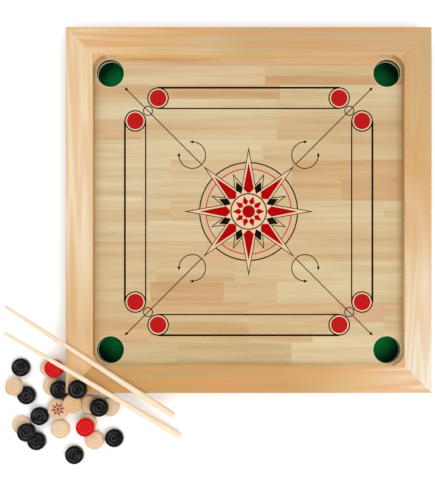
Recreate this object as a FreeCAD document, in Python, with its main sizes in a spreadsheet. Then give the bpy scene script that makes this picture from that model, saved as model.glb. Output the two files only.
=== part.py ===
import FreeCAD, Part
import math
import os
import re

import Sketcher

# Carrom board with its loose men, striker and two cues, in millimetres.
# The board lies on the table plane. +X is right, +Y is away, +Z is up.
# The origin is the centre of the board's underside.

DIMENSIONS = {
    # frame
    "half_side": 254.0,
    "half_well": 216.0,
    "frame_height": 30.0,
    "inner_round": 2.0,
    "outer_round": 1.4,
    # playing panel
    "panel_bottom": 11.0,
    "panel_thickness": 6.0,
    "panel_top": 17.0,
    "groove_depth": 6.0,
    "panel_tongue": 5.5,
    # pockets
    "pocket_centre": 194.5,
    "pocket_radius": 19.0,
    "pocket_arris": 0.6,
    "block_side": 50.5,
    "block_floor": 1.6,
    "lining_radius": 18.7,
    "lining_wall": 0.8,
    "lining_floor": 0.8,
    "lining_rim": 7.6,
    "lining_bevel": 2.4,
    # corner blocks in the well
    "corner_leg": 15.5,
    "corner_arc_radius": 22.0,
    "corner_top": 29.2,
    # mitre splines
    "spline_length": 26.0,
    "spline_width": 24.0,
    "spline_thickness": 3.0,
    "spline_bottom": 21.5,
    "mitre_middle": 235.0,
    # batten and its screws
    "batten_width": 34.0,
    "batten_screw_near": 62.0,
    "batten_screw_far": 156.0,
    "block_screw_near": 172.0,
    "block_screw_far": 211.0,
    "screw_head_radius": 3.0,
    "screw_head_height": 2.0,
    "screw_shank_radius": 1.5,
    "screw_length": 12.0,
    "screw_slot_width": 0.8,
    "screw_slot_depth": 0.8,
    "screw_sink_radius": 3.4,
    "screw_sink_depth": 2.2,
    "screw_hole_radius": 1.85,
    "screw_hole_top": 14.6,
    # printed film
    "film": 0.1,
    # men and striker
    "man_radius": 13.0,
    "man_height": 8.0,
    "man_arris": 1.0,
    "striker_radius": 15.0,
    "striker_height": 8.0,
    "ring_depth": 0.45,
    "ring_half_width": 0.7,
    # cues
    "cue_length": 280.0,
    "cue_butt_radius": 4.6,
    "cue_tip_radius": 2.3,
}

CORNER_SIGNS = ((-1, -1), (1, -1), (1, 1), (-1, 1))
CORNER_NAMES = ("front_left", "front_right", "back_right", "back_left")

doc = FreeCAD.newDocument("carrom_board")
sheet = doc.addObject("Spreadsheet::Sheet", "dims")
for row, (alias, millimetres) in enumerate(DIMENSIONS.items(), start=1):
    sheet.set("A%d" % row, alias)
    sheet.set("B%d" % row, str(millimetres))
    sheet.setAlias("B%d" % row, alias)
doc.recompute()


def read(alias):
    """The number the sheet holds for one alias."""
    return float(sheet.get(alias))


def bound(expression):
    """The expression with every word turned into a reference to the sheet."""
    return re.sub(r"[a-z][a-z_]*", lambda word: "dims." + word.group(0), expression)


def number(expression):
    """A sum, difference or product of aliases and numbers, read left to right."""
    total = None
    operator = "+"
    for token in re.findall(r"[a-z_]+|[0-9.]+|[-+*/]", expression):
        if token in "+-*/":
            operator = token
            continue
        value = read(token) if token[0].isalpha() else float(token)
        if total is None:
            total = -value if operator == "-" else value
        elif operator == "+":
            total += value
        elif operator == "-":
            total -= value
        elif operator == "*":
            total *= value
        else:
            total /= value
    return total


def origin_plane(body, role):
    """One of the body's own origin planes, such as XY_Plane."""
    for feature in body.Origin.OriginFeatures:
        if feature.Role == role:
            return feature
    raise ValueError(role)


def new_body(label):
    body = doc.addObject("PartDesign::Body", label)
    body.Label = label
    return body


def new_sketch(body, name, role="XY_Plane", height=None):
    """A sketch on an origin plane, lifted along the plane's normal by a sheet value."""
    sketch = body.newObject("Sketcher::SketchObject", name)
    sketch.AttachmentSupport = (origin_plane(body, role), "")
    sketch.MapMode = "FlatFace"
    if height is not None:
        sketch.setExpression("AttachmentOffset.Base.z", bound(height))
    return sketch


def pin_point(sketch, geometry, point, x_expression, y_expression):
    """Fix one point of a sketch's geometry at a position worked out from the sheet."""
    for axis, expression in (("X", x_expression), ("Y", y_expression)):
        if expression == "0":
            line = -2 if axis == "X" else -1
            sketch.addConstraint(Sketcher.Constraint("PointOnObject", geometry, point, line))
            continue
        index = sketch.addConstraint(
            Sketcher.Constraint("Distance" + axis, -1, 1, geometry, point, number(expression)))
        sketch.setExpression("Constraints[%d]" % index, bound(expression))


def draw_polygon(sketch, corners):
    """A closed outline through corners given as pairs of sheet expressions."""
    points = [FreeCAD.Vector(number(x), number(y), 0) for x, y in corners]
    first = len(sketch.Geometry)
    count = len(points)
    for index in range(count):
        sketch.addGeometry(Part.LineSegment(points[index], points[(index + 1) % count]), False)
    for index in range(count):
        following = first + (index + 1) % count
        sketch.addConstraint(Sketcher.Constraint("Coincident", first + index, 2, following, 1))
    for index, (x, y) in enumerate(corners):
        pin_point(sketch, first + index, 1, x, y)


def draw_circle(sketch, x, y, radius):
    centre = FreeCAD.Vector(number(x), number(y), 0)
    index = sketch.addGeometry(
        Part.Circle(centre, FreeCAD.Vector(0, 0, 1), number(radius)), False)
    pin_point(sketch, index, 3, x, y)
    constraint = sketch.addConstraint(Sketcher.Constraint("Radius", index, number(radius)))
    sketch.setExpression("Constraints[%d]" % constraint, bound(radius))


def add_pad(body, sketch, length, name="Pad"):
    pad = body.newObject("PartDesign::Pad", name)
    pad.Profile = sketch
    pad.setExpression("Length", bound(length))
    sketch.Visibility = False
    return pad


def add_pocket(body, sketch, depth, name, upward=True):
    """A pocket cut from the sketch plane, upward (+normal) or downward."""
    pocket = body.newObject("PartDesign::Pocket", name)
    pocket.Profile = sketch
    pocket.Type = "Length"
    pocket.Reversed = upward
    pocket.setExpression("Length", bound(depth))
    sketch.Visibility = False
    return pocket


def add_revolution(body, sketch, name="Turned"):
    """Turn a profile drawn on the XZ plane about the body's Z axis."""
    turned = body.newObject("PartDesign::Revolution", name)
    turned.Profile = sketch
    turned.ReferenceAxis = (sketch, ["V_Axis"])
    turned.Angle = 360.0
    sketch.Visibility = False
    return turned


def edges_where(feature, wanted):
    """The names of the feature's edges whose end points and centre satisfy a test."""
    names = []
    for index, edge in enumerate(feature.Shape.Edges, start=1):
        if wanted(edge):
            names.append("Edge%d" % index)
    return names


def add_fillet(body, feature, names, radius, label):
    fillet = body.newObject("PartDesign::Fillet", label)
    fillet.Base = (feature, names)
    fillet.setExpression("Radius", bound(radius))
    return fillet


def turned_about_z(degrees):
    return FreeCAD.Placement(
        FreeCAD.Vector(0, 0, 0), FreeCAD.Rotation(FreeCAD.Vector(0, 0, 1), degrees))


def lies_along(edge, y, z):
    """True when a straight edge runs along X at the given y and z."""
    middle = edge.BoundBox.Center
    return (edge.BoundBox.YLength < 0.01 and edge.BoundBox.ZLength < 0.01
            and abs(middle.y - y) < 0.01 and abs(middle.z - z) < 0.01)


def make_rail(label, degrees):
    """One mitred rail, drawn as the front rail and turned to its side of the board."""
    body = new_body(label)
    outline = new_sketch(body, label + "_outline")
    draw_polygon(outline, [
        ("-half_side", "-half_side"),
        ("half_side", "-half_side"),
        ("half_well", "-half_well"),
        ("-half_well", "-half_well"),
    ])
    blank = add_pad(body, outline, "frame_height", label + "_blank")
    groove = new_sketch(body, label + "_groove_outline", height="panel_bottom")
    draw_polygon(groove, [
        ("-half_side", "-half_well-groove_depth"),
        ("half_side", "-half_well-groove_depth"),
        ("half_side", "-half_well+groove_depth"),
        ("-half_side", "-half_well+groove_depth"),
    ])
    last = add_pocket(body, groove, "panel_thickness", label + "_groove")
    for side, sign in (("left", -1), ("right", 1)):
        slot = new_sketch(body, label + "_" + side + "_slot_outline", height="spline_bottom")
        slot_corners(slot, sign)
        last = add_pocket(body, slot, "spline_thickness", label + "_" + side + "_slot")
    doc.recompute()
    inner = edges_where(last, lambda edge: lies_along(edge, -read("half_well"), read("frame_height")))
    rounded = add_fillet(body, last, inner, "inner_round", label + "_inner_arris")
    doc.recompute()
    outer = edges_where(rounded, lambda edge: lies_along(edge, -read("half_side"), read("frame_height"))
                        or lies_along(edge, -read("half_side"), 0))
    body.Tip = add_fillet(body, rounded, outer, "outer_round", label + "_outer_arris")
    body.Placement = turned_about_z(degrees)
    return body


def slot_corners(sketch, sign):
    """The spline slot's outline, a rectangle square to the mitre at one end of the rail."""
    across = FreeCAD.Vector(sign * math.sqrt(0.5), math.sqrt(0.5), 0)
    along = FreeCAD.Vector(sign * math.sqrt(0.5), -math.sqrt(0.5), 0)
    middle = FreeCAD.Vector(sign * read("mitre_middle"), -read("mitre_middle"), 0)
    half_length = read("spline_length") / 2
    half_width = read("spline_width") / 2
    corners = []
    for a, b in ((-1, -1), (1, -1), (1, 1), (-1, 1)):
        corners.append(middle + across * (a * half_length) + along * (b * half_width))
    count = len(corners)
    for index in range(count):
        sketch.addGeometry(Part.LineSegment(corners[index], corners[(index + 1) % count]), False)
    for index in range(count):
        sketch.addConstraint(
            Sketcher.Constraint("Coincident", index, 2, (index + 1) % count, 1))
    centre = sketch.addGeometry(Part.Point(middle), True)
    pin_point(sketch, centre, 1, "mitre_middle" if sign > 0 else "-mitre_middle", "-mitre_middle")
    sketch.addConstraint(Sketcher.Constraint("Symmetric", 0, 1, 1, 2, centre, 1))
    sketch.addConstraint(Sketcher.Constraint("Perpendicular", 0, 1))
    sketch.addConstraint(Sketcher.Constraint("Angle", 0, math.atan2(across.y, across.x)))
    for edge, alias in ((0, "spline_length"), (1, "spline_width")):
        index = sketch.addConstraint(Sketcher.Constraint("Distance", edge, read(alias)))
        sketch.setExpression("Constraints[%d]" % index, bound(alias))


def screw_positions():
    """Plan positions of the screws, first the block screws and then the batten screws."""
    blocks = []
    near = read("block_screw_near")
    far = read("block_screw_far")
    for sign_x, sign_y in CORNER_SIGNS:
        blocks.append((sign_x * near, sign_y * far))
        blocks.append((sign_x * far, sign_y * near))
    battens = []
    for x in (-read("batten_screw_far"), -read("batten_screw_near"),
              read("batten_screw_near"), read("batten_screw_far")):
        battens.append((x, 0.0))
    return blocks, battens


def signed(expression, sign):
    """The expression, or its negative when the sign is minus one."""
    if sign > 0:
        return expression
    swapped = expression.translate(str.maketrans("+-", "-+"))
    return "-" + swapped


def make_panel():
    """The playing panel, with four pocket holes and the screws' pilot holes."""
    body = new_body("playing_panel")
    outline = new_sketch(body, "panel_outline", height="panel_bottom")
    edge = "half_well+panel_tongue"
    draw_polygon(outline, [
        (signed(edge, -1), signed(edge, -1)),
        (edge, signed(edge, -1)),
        (edge, edge),
        (signed(edge, -1), edge),
    ])
    add_pad(body, outline, "panel_thickness", "panel_sheet")
    holes = new_sketch(body, "pocket_hole_outline", height="panel_bottom")
    for sign_x, sign_y in CORNER_SIGNS:
        draw_circle(holes, signed("pocket_centre", sign_x), signed("pocket_centre", sign_y),
                    "pocket_radius")
    add_pocket(body, holes, "panel_thickness", "pocket_holes")
    pilots = new_sketch(body, "pilot_outline", height="panel_bottom")
    for sign_x, sign_y in CORNER_SIGNS:
        for x, y in (("block_screw_near", "block_screw_far"), ("block_screw_far", "block_screw_near")):
            draw_circle(pilots, signed(x, sign_x), signed(y, sign_y), "screw_hole_radius")
    for alias in ("batten_screw_near", "batten_screw_far"):
        for sign in (-1, 1):
            draw_circle(pilots, signed(alias, sign), "0", "screw_hole_radius")
    drilled = add_pocket(body, pilots, "screw_hole_top-panel_bottom", "pilot_holes")
    doc.recompute()
    rim_height = read("panel_top")
    radius = read("pocket_radius")

    def is_rim(edge):
        box = edge.BoundBox
        return (box.ZLength < 0.01 and abs(box.ZMax - rim_height) < 0.01
                and abs(box.XLength - 2 * radius) < 0.1)

    body.Tip = add_fillet(body, drilled, edges_where(drilled, is_rim), "pocket_arris", "pocket_rims")
    return body


def make_corner_block(label, degrees):
    """A small block in one corner of the well, hollowed concentric with the pocket."""
    body = new_body(label)
    outline = new_sketch(body, label + "_outline", height="panel_top")
    draw_polygon(outline, [
        ("half_well-corner_leg", "half_well-corner_leg"),
        ("half_well", "half_well-corner_leg"),
        ("half_well", "half_well"),
        ("half_well-corner_leg", "half_well"),
    ])
    add_pad(body, outline, "corner_top-panel_top", label + "_blank")
    arc = new_sketch(body, label + "_arc", height="panel_top")
    draw_circle(arc, "pocket_centre", "pocket_centre", "corner_arc_radius")
    hollow = add_pocket(body, arc, "corner_top-panel_top", label + "_hollow")
    doc.recompute()
    top = read("corner_top")

    def is_arc_arris(edge):
        box = edge.BoundBox
        return (box.ZLength < 0.01 and abs(box.ZMax - top) < 0.01
                and isinstance(edge.Curve, Part.Circle))

    body.Tip = add_fillet(body, hollow, edges_where(hollow, is_arc_arris), "outer_round",
                          label + "_arris")
    body.Placement = turned_about_z(degrees)
    return body


def make_pocket_block(label, degrees):
    """The blind-bored block glued and screwed under one pocket."""
    body = new_body(label)
    outline = new_sketch(body, label + "_outline")
    draw_polygon(outline, [
        ("half_well-block_side", "half_well-block_side"),
        ("half_well", "half_well-block_side"),
        ("half_well", "half_well"),
        ("half_well-block_side", "half_well"),
    ])
    add_pad(body, outline, "panel_bottom", label + "_blank")
    bore = new_sketch(body, label + "_bore_outline", height="block_floor")
    draw_circle(bore, "pocket_centre", "pocket_centre", "pocket_radius")
    add_pocket(body, bore, "panel_bottom-block_floor", label + "_bore")
    holes = new_sketch(body, label + "_screw_holes")
    draw_circle(holes, "block_screw_near", "block_screw_far", "screw_hole_radius")
    draw_circle(holes, "block_screw_far", "block_screw_near", "screw_hole_radius")
    add_pocket(body, holes, "panel_bottom", label + "_screw_bores")
    sinks = new_sketch(body, label + "_screw_sinks")
    draw_circle(sinks, "block_screw_near", "block_screw_far", "screw_sink_radius")
    draw_circle(sinks, "block_screw_far", "block_screw_near", "screw_sink_radius")
    body.Tip = add_pocket(body, sinks, "screw_sink_depth", label + "_counterbores")
    body.Placement = turned_about_z(degrees)
    return body


def make_pocket_lining(label, x, y):
    """The cloth cup pressed into one pocket block, with a soft round inside corner."""
    body = new_body(label)
    profile = new_sketch(body, label + "_profile", "XZ_Plane")
    inner = "lining_radius-lining_wall"
    draw_polygon(profile, [
        ("0", "block_floor"),
        ("lining_radius", "block_floor"),
        ("lining_radius", "lining_rim"),
        (inner, "lining_rim"),
        (inner, "block_floor+lining_floor+lining_bevel"),
        (inner + "-lining_bevel", "block_floor+lining_floor"),
        ("0", "block_floor+lining_floor"),
    ])
    body.Tip = add_revolution(body, profile)
    body.Placement = FreeCAD.Placement(
        FreeCAD.Vector(x * read("pocket_centre"), y * read("pocket_centre"), 0),
        FreeCAD.Rotation())
    return body


def make_batten():
    """The batten under the middle of the panel, from the left rail to the right rail."""
    body = new_body("centre_batten")
    outline = new_sketch(body, "batten_outline")
    draw_polygon(outline, [
        ("-half_well", "-batten_width/2"),
        ("half_well", "-batten_width/2"),
        ("half_well", "batten_width/2"),
        ("-half_well", "batten_width/2"),
    ])
    add_pad(body, outline, "panel_bottom", "batten_blank")
    holes = new_sketch(body, "batten_screw_holes")
    sinks = new_sketch(body, "batten_screw_sinks")
    for alias in ("batten_screw_near", "batten_screw_far"):
        for sign in (-1, 1):
            draw_circle(holes, signed(alias, sign), "0", "screw_hole_radius")
            draw_circle(sinks, signed(alias, sign), "0", "screw_sink_radius")
    add_pocket(body, holes, "panel_bottom", "batten_screw_bores")
    body.Tip = add_pocket(body, sinks, "screw_sink_depth", "batten_counterbores")
    return body


def make_screws(label, positions):
    """A group of pan-head screws driven up from below, each head seated in its counterbore."""
    screws = []
    seat = read("screw_sink_depth")
    head_bottom = seat - read("screw_head_height")
    slot_length = 2 * read("screw_head_radius") + 1
    slot_width = read("screw_slot_width")
    for index, (x, y) in enumerate(positions, start=1):
        head = doc.addObject("Part::Cylinder", "%s_head_%d" % (label, index))
        head.setExpression("Radius", bound("screw_head_radius"))
        head.setExpression("Height", bound("screw_head_height"))
        head.Placement.Base = FreeCAD.Vector(x, y, head_bottom)
        slot = doc.addObject("Part::Box", "%s_slot_%d" % (label, index))
        slot.setExpression("Length", bound("2*screw_head_radius+1"))
        slot.setExpression("Width", bound("screw_slot_width"))
        slot.setExpression("Height", bound("screw_slot_depth+1"))
        slot.Placement.Base = FreeCAD.Vector(
            x - slot_length / 2, y - slot_width / 2, head_bottom - 1)
        slotted = doc.addObject("Part::Cut", "%s_slotted_%d" % (label, index))
        slotted.Base = head
        slotted.Tool = slot
        shank = doc.addObject("Part::Cylinder", "%s_shank_%d" % (label, index))
        shank.setExpression("Radius", bound("screw_shank_radius"))
        shank.setExpression("Height", bound("screw_length"))
        shank.Placement.Base = FreeCAD.Vector(x, y, seat)
        screw = doc.addObject("Part::Fuse", "%s_%d" % (label, index))
        screw.Base = slotted
        screw.Tool = shank
        screws.append(screw)
    group = doc.addObject("Part::Compound", label)
    group.Label = label
    group.Links = screws
    return group


def make_splines():
    """Four loose tongues glued across the mitres, each a little shorter than its slot."""
    splines = []
    for (sign_x, sign_y), name in zip(CORNER_SIGNS, CORNER_NAMES):
        spline = doc.addObject("Part::Box", "spline_" + name)
        spline.setExpression("Length", bound("spline_length-1"))
        spline.setExpression("Width", bound("spline_width-1"))
        spline.setExpression("Height", bound("spline_thickness"))
        half_length = (read("spline_length") - 1) / 2
        half_width = (read("spline_width") - 1) / 2
        rotation = FreeCAD.Rotation(FreeCAD.Vector(0, 0, 1), -45 * sign_x * sign_y)
        middle = FreeCAD.Vector(
            sign_x * read("mitre_middle"), sign_y * read("mitre_middle"), read("spline_bottom"))
        corner = rotation.multVec(FreeCAD.Vector(-half_length, -half_width, 0))
        spline.Placement = FreeCAD.Placement(middle + corner, rotation)
        splines.append(spline)
    group = doc.addObject("Part::Compound", "mitre_splines")
    group.Label = "mitre_splines"
    group.Links = splines
    return group


# Printed markings, drawn flat from the centre of the panel.

BASE_LINE_OUTER = 174.1
BASE_LINE_OUTER_WIDTH = 2.7
BASE_LINE_INNER = 144.9
BASE_LINE_INNER_WIDTH = 1.8
BASE_CIRCLE_NEAR = 127.4
BASE_CIRCLE_FAR = 159.5
BASE_RING_RADIUS = 15.2
BASE_RING_LINE = 1.8
BASE_DISC_RADIUS = 11.7
ARROW_RING_CENTRE = 141.6
ARROW_RING_RADIUS = 6.4
THIN_LINE = 1.25
ARROW_OUTER = 174.5
ARROW_INNER = 66.3
ARROW_HEAD_LENGTH = 6.4
ARROW_HEAD_WIDTH = 4.0
ARROW_HEAD_WAIST = 4.2
ARROW_SHAFT_HIDDEN = 3.0
LOOP_HEAD_FORWARD = 3.5
LOOP_CENTRE = 79.3
LOOP_RADIUS = 18.7
STAR_LONG = 91.0
STAR_SHORT = 57.6
STAR_VALLEY = 38.7
STAR_VALLEY_DEGREES = 14.0
STAR_LINE = 1.1
LONG_POINT_ROOT = 26.0
OUTER_CIRCLE = 68.8
OUTER_CIRCLE_LINE = 1.8
RED_CIRCLE = 60.0
INNER_RING = 24.9
INNER_RING_LINE = 1.7
KITE_TIP = 69.0
KITE_WIDE_AT = 31.8
KITE_HALF_WIDTH = 7.4
KITE_FOOT = 26.4
KITE_FOOT_HALF_WIDTH = 1.8
DIAMOND_FOOT = 26.8
DIAMOND_TIP = 45.0
DIAMOND_WIDE_AT = 34.4
DIAMOND_HALF_WIDTH = 5.6
CENTRE_DISC = 8.4
CENTRE_LINE = 0.7
DART_COUNT = 10
DART_TIP = 22.4
DART_WIDE_AT = 13.8
DART_HALF_WIDTH = 4.2
DART_FOOT = 9.6


def polar(radius, degrees, sideways=0.0):
    """The plan point at a radius along a direction, moved sideways to its left."""
    angle = math.radians(degrees)
    return FreeCAD.Vector(
        radius * math.cos(angle) - sideways * math.sin(angle),
        radius * math.sin(angle) + sideways * math.cos(angle), 0)


def flat_polygon(points):
    return Part.Face(Part.makePolygon(list(points) + [points[0]]))


def flat_disc(radius, centre=FreeCAD.Vector(0, 0, 0)):
    return Part.Face(Part.Wire(Part.makeCircle(radius, centre)))


def flat_ring(radius, line, centre=FreeCAD.Vector(0, 0, 0)):
    """A ring whose line is centred on the radius."""
    return flat_disc(radius + line / 2, centre).cut(flat_disc(radius - line / 2, centre))


def flat_bar(start, end, width):
    """A straight line of the given width between two plan points."""
    run = (end - start).normalize()
    side = FreeCAD.Vector(-run.y, run.x, 0) * (width / 2)
    return flat_polygon([start + side, end + side, end - side, start - side])


def arrow_head(tip, degrees):
    """A slim arrowhead with its point at the tip, pointing along a direction."""
    back = polar(ARROW_HEAD_LENGTH, degrees)
    side = polar(0, degrees, ARROW_HEAD_WIDTH / 2)
    waist = tip - polar(ARROW_HEAD_WAIST, degrees)
    return flat_polygon([tip, waist + side, tip - back, waist - side])


def star_corners():
    """The corners of the star, which has eight long and eight short points."""
    corners = []
    for step in range(8):
        degrees = step * 45
        corners.append(polar(STAR_LONG, degrees))
        corners.append(polar(STAR_VALLEY, degrees + STAR_VALLEY_DEGREES))
        corners.append(polar(STAR_SHORT, degrees + 22.5))
        corners.append(polar(STAR_VALLEY, degrees + 45 - STAR_VALLEY_DEGREES))
    return corners


def inset(corners, distance):
    """The corners of the outline whose sides lie a distance inside an anticlockwise outline."""
    moved = []
    for index, corner in enumerate(corners):
        arriving = (corner - corners[index - 1]).normalize()
        leaving = (corners[(index + 1) % len(corners)] - corner).normalize()
        turn = arriving.cross(leaving).z
        moved.append(corner + (leaving - arriving) * (distance / turn))
    return moved


def long_points_outline():
    """The eight long points alone, each running in to the inner ring."""
    corners = []
    for step in range(8):
        degrees = step * 45
        corners.append(polar(STAR_LONG, degrees))
        corners.append(polar(STAR_VALLEY, degrees + STAR_VALLEY_DEGREES))
        corners.append(polar(LONG_POINT_ROOT, degrees + 22.5))
        corners.append(polar(STAR_VALLEY, degrees + 45 - STAR_VALLEY_DEGREES))
    return flat_polygon(corners)


def fused(faces):
    """The faces joined into as few faces as their outlines allow."""
    return faces[0].multiFuse(faces[1:]).removeSplitter()


def corner_marks(degrees):
    """The diagonal arrow, its small ring, and the loop in one quarter of the panel."""
    root = math.sqrt(2)
    ring_centre = polar(ARROW_RING_CENTRE * root, degrees)
    loop_centre = polar(LOOP_CENTRE * root, degrees)
    faces = [
        flat_bar(polar(ARROW_INNER * root, degrees),
                 polar(ARROW_OUTER * root - ARROW_SHAFT_HIDDEN, degrees), THIN_LINE),
        arrow_head(polar(ARROW_OUTER * root, degrees), degrees),
        flat_ring(ARROW_RING_RADIUS, THIN_LINE, ring_centre),
    ]
    opening = flat_polygon([
        loop_centre,
        loop_centre + polar(3 * LOOP_RADIUS, degrees - 45),
        loop_centre + polar(5 * LOOP_RADIUS, degrees),
        loop_centre + polar(3 * LOOP_RADIUS, degrees + 45),
    ])
    faces.append(flat_ring(LOOP_RADIUS, THIN_LINE, loop_centre).cut(opening))
    for side in (-1, 1):
        end = loop_centre + polar(LOOP_RADIUS, degrees + 45 * side)
        pointing = degrees - 45 * side
        faces.append(arrow_head(end + polar(LOOP_HEAD_FORWARD, pointing), pointing))
    return faces


def side_marks(degrees):
    """The two base lines and two base circles along one side of the panel."""
    turn = FreeCAD.Rotation(FreeCAD.Vector(0, 0, 1), degrees)
    half = BASE_CIRCLE_NEAR
    black = [
        flat_bar(turn.multVec(FreeCAD.Vector(-half, BASE_LINE_OUTER, 0)),
                 turn.multVec(FreeCAD.Vector(half, BASE_LINE_OUTER, 0)), BASE_LINE_OUTER_WIDTH),
        flat_bar(turn.multVec(FreeCAD.Vector(-half, BASE_LINE_INNER, 0)),
                 turn.multVec(FreeCAD.Vector(half, BASE_LINE_INNER, 0)), BASE_LINE_INNER_WIDTH),
    ]
    inside = []
    red = []
    for sign in (-1, 1):
        centre = turn.multVec(FreeCAD.Vector(sign * half, BASE_CIRCLE_FAR, 0))
        inside.append(flat_disc(BASE_RING_RADIUS - BASE_RING_LINE, centre))
        black.append(flat_ring(BASE_RING_RADIUS - BASE_RING_LINE / 2, BASE_RING_LINE, centre))
        red.append(flat_disc(BASE_DISC_RADIUS, centre))
    trimmed = [face.cut(fused(inside)) for face in black[:2]] + black[2:]
    return trimmed, red, inside


def make_markings():
    """Thin printed layers on the panel: black, then red, then cream, none overlapping."""
    black = []
    red = []
    cream = []
    star = flat_polygon(star_corners())
    black.append(star.cut(flat_polygon(inset(star_corners(), STAR_LINE))))
    black.append(flat_ring(OUTER_CIRCLE, OUTER_CIRCLE_LINE).cut(star))
    black.append(flat_ring(INNER_RING, INNER_RING_LINE))
    black.append(flat_ring(CENTRE_DISC, CENTRE_LINE))
    for step in range(8):
        black.append(flat_polygon([
            polar(DIAMOND_TIP, step * 45 + 22.5),
            polar(DIAMOND_WIDE_AT, step * 45 + 22.5, DIAMOND_HALF_WIDTH),
            polar(DIAMOND_FOOT, step * 45 + 22.5),
            polar(DIAMOND_WIDE_AT, step * 45 + 22.5, -DIAMOND_HALF_WIDTH),
        ]))
        red.append(flat_polygon([
            polar(KITE_TIP, step * 45),
            polar(KITE_WIDE_AT, step * 45, KITE_HALF_WIDTH),
            polar(KITE_FOOT, step * 45, KITE_FOOT_HALF_WIDTH),
            polar(KITE_FOOT, step * 45, -KITE_FOOT_HALF_WIDTH),
            polar(KITE_WIDE_AT, step * 45, -KITE_HALF_WIDTH),
        ]))
    for step in range(DART_COUNT):
        degrees = step * 360 / DART_COUNT
        red.append(flat_polygon([
            polar(DART_TIP, degrees),
            polar(DART_WIDE_AT, degrees, DART_HALF_WIDTH),
            polar(DART_FOOT, degrees),
            polar(DART_WIDE_AT, degrees, -DART_HALF_WIDTH),
        ]))
    red.append(flat_disc(CENTRE_DISC - CENTRE_LINE / 2))
    red.append(flat_ring(RED_CIRCLE, THIN_LINE).cut(star))
    cream.append(long_points_outline())
    cream.append(flat_disc(OUTER_CIRCLE).cut(flat_disc(RED_CIRCLE)).cut(star))
    cream.append(flat_disc(INNER_RING))
    for step in range(4):
        black.extend(corner_marks(45 + 90 * step))
        side_black, side_red, side_inside = side_marks(90 * step)
        black.extend(side_black)
        red.extend(side_red)
        cream.extend(side_inside)
    black_face = fused(black)
    red_face = fused(red).cut(black_face)
    cream_face = fused(cream).cut(black_face).cut(red_face)
    layers = []
    for label, face in (("marking_black", black_face), ("marking_red", red_face),
                        ("marking_cream", cream_face)):
        layer = doc.addObject("Part::Feature", label)
        layer.Label = label
        solids = [single.extrude(FreeCAD.Vector(0, 0, read("film"))) for single in face.Faces]
        layer.Shape = Part.makeCompound(solids)
        layer.Placement.Base = FreeCAD.Vector(0, 0, read("panel_top"))
        layers.append(layer)
    return layers


# Loose pieces.

def disc_profile(radius, height, rings):
    """Half of a turned disc's section: flat foot, bevelled rims, V rings cut in both faces."""
    corners = [("0", "0")]
    for ring in rings:
        corners.append((ring + "-ring_half_width", "0"))
        corners.append((ring, "ring_depth"))
        corners.append((ring + "+ring_half_width", "0"))
    corners.append((radius + "-man_arris", "0"))
    corners.append((radius, "man_arris"))
    corners.append((radius, height + "-man_arris"))
    corners.append((radius + "-man_arris", height))
    for ring in reversed(rings):
        corners.append((ring + "+ring_half_width", height))
        corners.append((ring, height + "-ring_depth"))
        corners.append((ring + "-ring_half_width", height))
    corners.append(("0", height))
    return corners


def make_disc(label, radius, height, rings, placement):
    body = new_body(label)
    profile = new_sketch(body, label + "_profile", "XZ_Plane")
    draw_polygon(profile, disc_profile(radius, height, rings))
    body.Tip = add_revolution(body, profile)
    body.Placement = placement
    return body


def make_cue(label, placement):
    """A tapered stick along its own Z axis, butt at the origin, both ends rounded."""
    body = new_body(label)
    profile = new_sketch(body, label + "_profile", "XZ_Plane")
    draw_polygon(profile, [
        ("0", "0"),
        ("cue_butt_radius", "0"),
        ("cue_tip_radius", "cue_length"),
        ("0", "cue_length"),
    ])
    turned = add_revolution(body, profile)
    doc.recompute()
    length = read("cue_length")

    def is_end_circle(edge, height):
        box = edge.BoundBox
        return box.ZLength < 0.01 and abs(box.ZMax - height) < 0.01 and box.XLength > 1

    butt = add_fillet(body, turned, edges_where(turned, lambda edge: is_end_circle(edge, 0)),
                      "cue_butt_radius*0.8", label + "_butt_round")
    doc.recompute()
    body.Tip = add_fillet(body, butt, edges_where(butt, lambda edge: is_end_circle(edge, length)),
                          "cue_tip_radius*0.8", label + "_tip_round")
    body.Placement = placement
    return body


def standing(x, y, height=0.0):
    return FreeCAD.Placement(FreeCAD.Vector(x, y, height), FreeCAD.Rotation())


STACK_GAP = 0.05
CUE_GAP = 0.1
on_table = 0.0
on_man = read("man_height") + STACK_GAP
on_frame = read("frame_height") + STACK_GAP

BLACK_MEN = (
    ("black_man_01", -324.5, -220.2, on_table),
    ("black_man_02", -316.4, -259.8, on_table),
    ("black_man_03", -267.4, -251.0, on_man),
    ("black_man_04", -236.1, -248.2, on_frame),
    ("black_man_05", -297.8, -289.6, on_table),
    ("black_man_06", -314.0, -311.5, on_man),
    ("black_man_07", -302.2, -325.1, on_table),
    ("black_man_08", -211.3, -276.3, on_man),
    ("black_man_09", -191.5, -320.8, on_table),
    ("black_man_10", -248.3, -344.9, on_table),
)
NATURAL_MEN = (
    ("natural_man_02", -284.0, -221.0, on_table),
    ("natural_man_03", -279.5, -247.4, on_table),
    ("natural_man_04", -249.0, -271.3, on_man),
    ("natural_man_05", -227.0, -273.2, on_table),
    ("natural_man_06", -197.2, -276.9, on_table),
    ("natural_man_07", -229.5, -299.6, on_table),
    ("natural_man_08", -268.2, -308.4, on_table),
    ("natural_man_09", -219.5, -324.1, on_table),
    ("natural_man_10", -323.5, -302.4, on_table),
)
RED_MEN = (
    ("red_man_01", -275.0, -221.0, on_man),
    ("red_man_02", -231.0, -304.4, on_man),
)
STRIKER_POSITION = (-271.0, -279.4)

# The first natural man leans on a black man.
LEANED_ON = "black_man_02"
LEAN_DEGREES = 23.5
LEAN_TOWARDS = FreeCAD.Vector(-0.8, 0.6, 0)
LEAN_DISTANCE = 19.45
LEAN_HEIGHT = 4.8

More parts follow.
